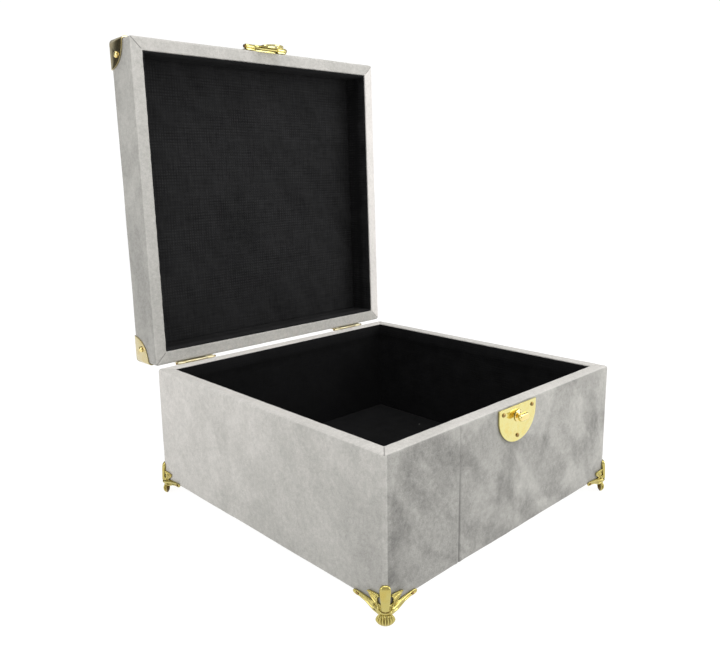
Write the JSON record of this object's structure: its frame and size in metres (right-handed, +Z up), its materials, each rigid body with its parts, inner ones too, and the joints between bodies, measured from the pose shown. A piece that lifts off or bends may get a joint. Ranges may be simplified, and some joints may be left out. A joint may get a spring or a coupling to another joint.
{
  "type": "jewellery box",
  "caption": "Square velvet-covered jewellery box on gilt corner feet, with a dark woven lining, a hinged lid with gilt corners, and a slotted hasp that closes over a turn knob.",
  "frame": {"origin": "middle of the bounding box's bottom with the lid open, on the plane that the feet stand on", "axes": "+Z up, +X to the right seen from the catch side, -Y the side with the catch, +Y the hinge side"},
  "size_m": [0.3072, 0.3594, 0.4316],
  "materials": {
    "velvet": "short-pile velvet, soft nap",
    "base_lining": "matte dark cloth",
    "lid_lining": "matte plain-woven dark cloth",
    "board": "plain sawn board, hidden under the cover",
    "foot_gilt": "cast, gilt, bright",
    "corner_gilt": "pressed, gilt, bright",
    "tack_gilt": "domed, gilt, bright",
    "hinge_gilt": "pressed, gilt, bright",
    "catch_gilt": "pressed, gilt, polished",
    "knob_gilt": "turned, gilt, polished",
    "pin_gilt": "gilt, slightly dull"
  },
  "bodies": {
    "base": {"base_bottom_panel": "board", "base_front_panel": "board", "base_left_panel": "board", "base_lining_panel": "base_lining", "base_lining_walls": "base_lining", "base_rear_panel": "board", "base_right_panel": "board", "base_velvet_cover": "velvet", "catch_pin_left": "pin_gilt", "catch_pin_lower": "pin_gilt", "catch_pin_right": "pin_gilt", "catch_plate": "catch_gilt", "foot_front_left": "foot_gilt", "foot_front_right": "foot_gilt", "foot_rear_left": "foot_gilt", "foot_rear_right": "foot_gilt", "hinge_left_base_leaf": "hinge_gilt", "hinge_left_base_nail_inner": "pin_gilt", "hinge_left_base_nail_outer": "pin_gilt", "hinge_left_pin": "pin_gilt", "hinge_right_base_leaf": "hinge_gilt", "hinge_right_base_nail_inner": "pin_gilt", "hinge_right_base_nail_outer": "pin_gilt", "hinge_right_pin": "pin_gilt"},
    "lid": {"corner_tack_front_left_end": "tack_gilt", "corner_tack_front_left_side": "tack_gilt", "corner_tack_front_left_top": "tack_gilt", "corner_tack_front_right_end": "tack_gilt", "corner_tack_front_right_side": "tack_gilt", "corner_tack_front_right_top": "tack_gilt", "corner_tack_rear_left_end": "tack_gilt", "corner_tack_rear_left_side": "tack_gilt", "corner_tack_rear_left_top": "tack_gilt", "corner_tack_rear_right_end": "tack_gilt", "corner_tack_rear_right_side": "tack_gilt", "corner_tack_rear_right_top": "tack_gilt", "hasp_hinge_pin": "pin_gilt", "hasp_plate": "catch_gilt", "hasp_plate_pin_left": "pin_gilt", "hasp_plate_pin_right": "pin_gilt", "hinge_left_lid_leaf": "hinge_gilt", "hinge_left_lid_nail_inner": "pin_gilt", "hinge_left_lid_nail_outer": "pin_gilt", "hinge_right_lid_leaf": "hinge_gilt", "hinge_right_lid_nail_inner": "pin_gilt", "hinge_right_lid_nail_outer": "pin_gilt", "lid_corner_front_left": "corner_gilt", "lid_corner_front_right": "corner_gilt", "lid_corner_rear_left": "corner_gilt", "lid_corner_rear_right": "corner_gilt", "lid_front_panel": "board", "lid_left_panel": "board", "lid_lining_panel": "lid_lining", "lid_lining_walls": "lid_lining", "lid_rear_panel": "board", "lid_right_panel": "board", "lid_top_panel": "board", "lid_velvet_cover": "velvet"},
    "hasp": {"hasp_flap": "catch_gilt"},
    "knob": {"turn_knob": "knob_gilt"}
  },
  "joints": [
    {"name": "lid_hinge", "type": "hinge", "parent": "base", "child": "lid", "pos_m": [0, 0.13039, 0.1243], "axis": [1, 0, 0], "range_deg": [0, 91.5]},
    {"name": "hasp_hinge", "type": "hinge", "parent": "lid", "child": "hasp", "pos_m": [0, 0.14147, 0.42921], "axis": [-1, 0, 0], "range_deg": [0, 150]},
    {"name": "knob_turn", "type": "hinge", "parent": "base", "child": "knob", "pos_m": [0, -0.17111, 0.114], "axis": [0, -1, 0], "range_deg": [0, 90]}
  ]
}
